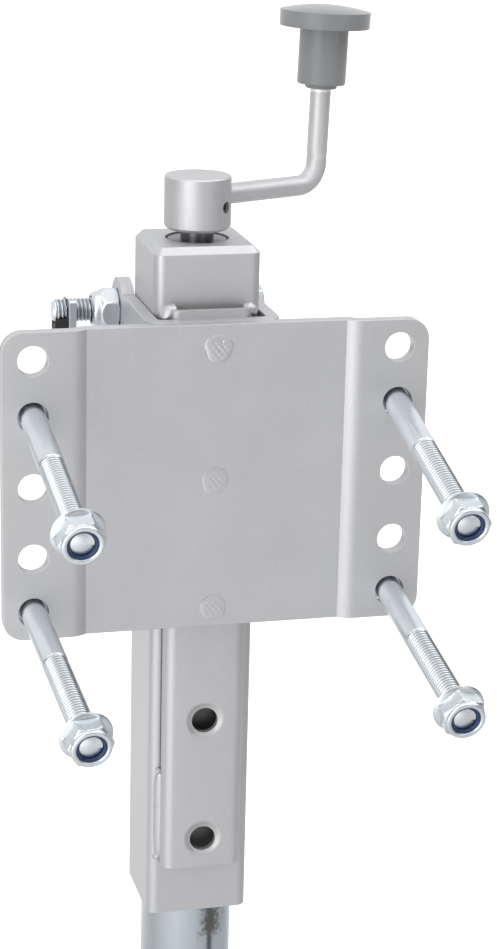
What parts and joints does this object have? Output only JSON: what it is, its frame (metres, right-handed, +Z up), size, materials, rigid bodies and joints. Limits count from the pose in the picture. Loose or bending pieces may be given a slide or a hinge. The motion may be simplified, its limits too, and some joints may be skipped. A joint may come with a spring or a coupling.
{
  "type": "trailer jack",
  "caption": "Hand-cranked square-tube trailer jack on a joggled side-mount plate with slack bolts.",
  "frame": {"origin": "centre of the middle pair of plate holes, on the front face of the plate's wings, which lies against the trailer frame", "axes": "+X to the right seen from the trailer frame, +Y from the plate towards the jack tube, +Z up along the tube"},
  "size_m": [0.2044, 0.2135, 0.5284],
  "materials": {
    "painted_steel": "fine-grained satin silver-grey powder coat",
    "zinc_steel": "bright zinc plate, slightly blue",
    "galvanised_steel": "zinc plate with faint drawn streaks",
    "bearing_steel": "bare machined steel, lightly greased",
    "black_oxide_steel": "black oxide",
    "grey_plastic": "moulded, satin",
    "blue_nylon": "smooth moulded nylon",
    "black_rubber": "matt"
  },
  "bodies": {
    "jack_body": {"mount_plate": "painted_steel", "saddle": "painted_steel", "locating_studs": "painted_steel", "outer_tube": "painted_steel", "height_rail": "painted_steel", "top_cap": "painted_steel", "thrust_bearing": "bearing_steel", "keeper_bolts": "zinc_steel", "keeper_nuts": "zinc_steel", "mount_bolts": "zinc_steel", "mount_nuts": "zinc_steel", "nylon_rings": "blue_nylon", "end_clip": "zinc_steel", "end_loop": "black_rubber"},
    "crank": {"crank_hub": "painted_steel", "hub_screw": "black_oxide_steel", "crank_rod": "painted_steel", "knob_washer": "grey_plastic", "drive_screw": "bearing_steel", "thrust_collar": "bearing_steel", "collar_pin": "bearing_steel", "snap_ring": "zinc_steel"},
    "leg": {"inner_tube": "galvanised_steel", "drive_nut": "bearing_steel", "foot_plate": "galvanised_steel"},
    "knob_body": {"knob": "grey_plastic"}
  },
  "joints": [
    {"name": "crank_turn", "type": "hinge", "parent": "jack_body", "child": "crank", "pos_m": [0, 0.05065, 0.1106], "axis": [0, 0, -1], "range_deg": [0, 28346.46]},
    {"name": "leg_extend", "type": "slide", "parent": "jack_body", "child": "leg", "axis": [0, 0, -1], "range_m": [0, 0.2501]},
    {"name": "knob_spin", "type": "hinge", "parent": "crank", "child": "knob_body", "pos_m": [0.06824, 0.07976, 0.1952], "axis": [0.0353, 0.0151, 0.9993], "continuous": true}
  ],
  "couplings": [
    {"joint": "leg_extend", "follows": "crank_turn", "m_per_rad": 0.00050532}
  ]
}
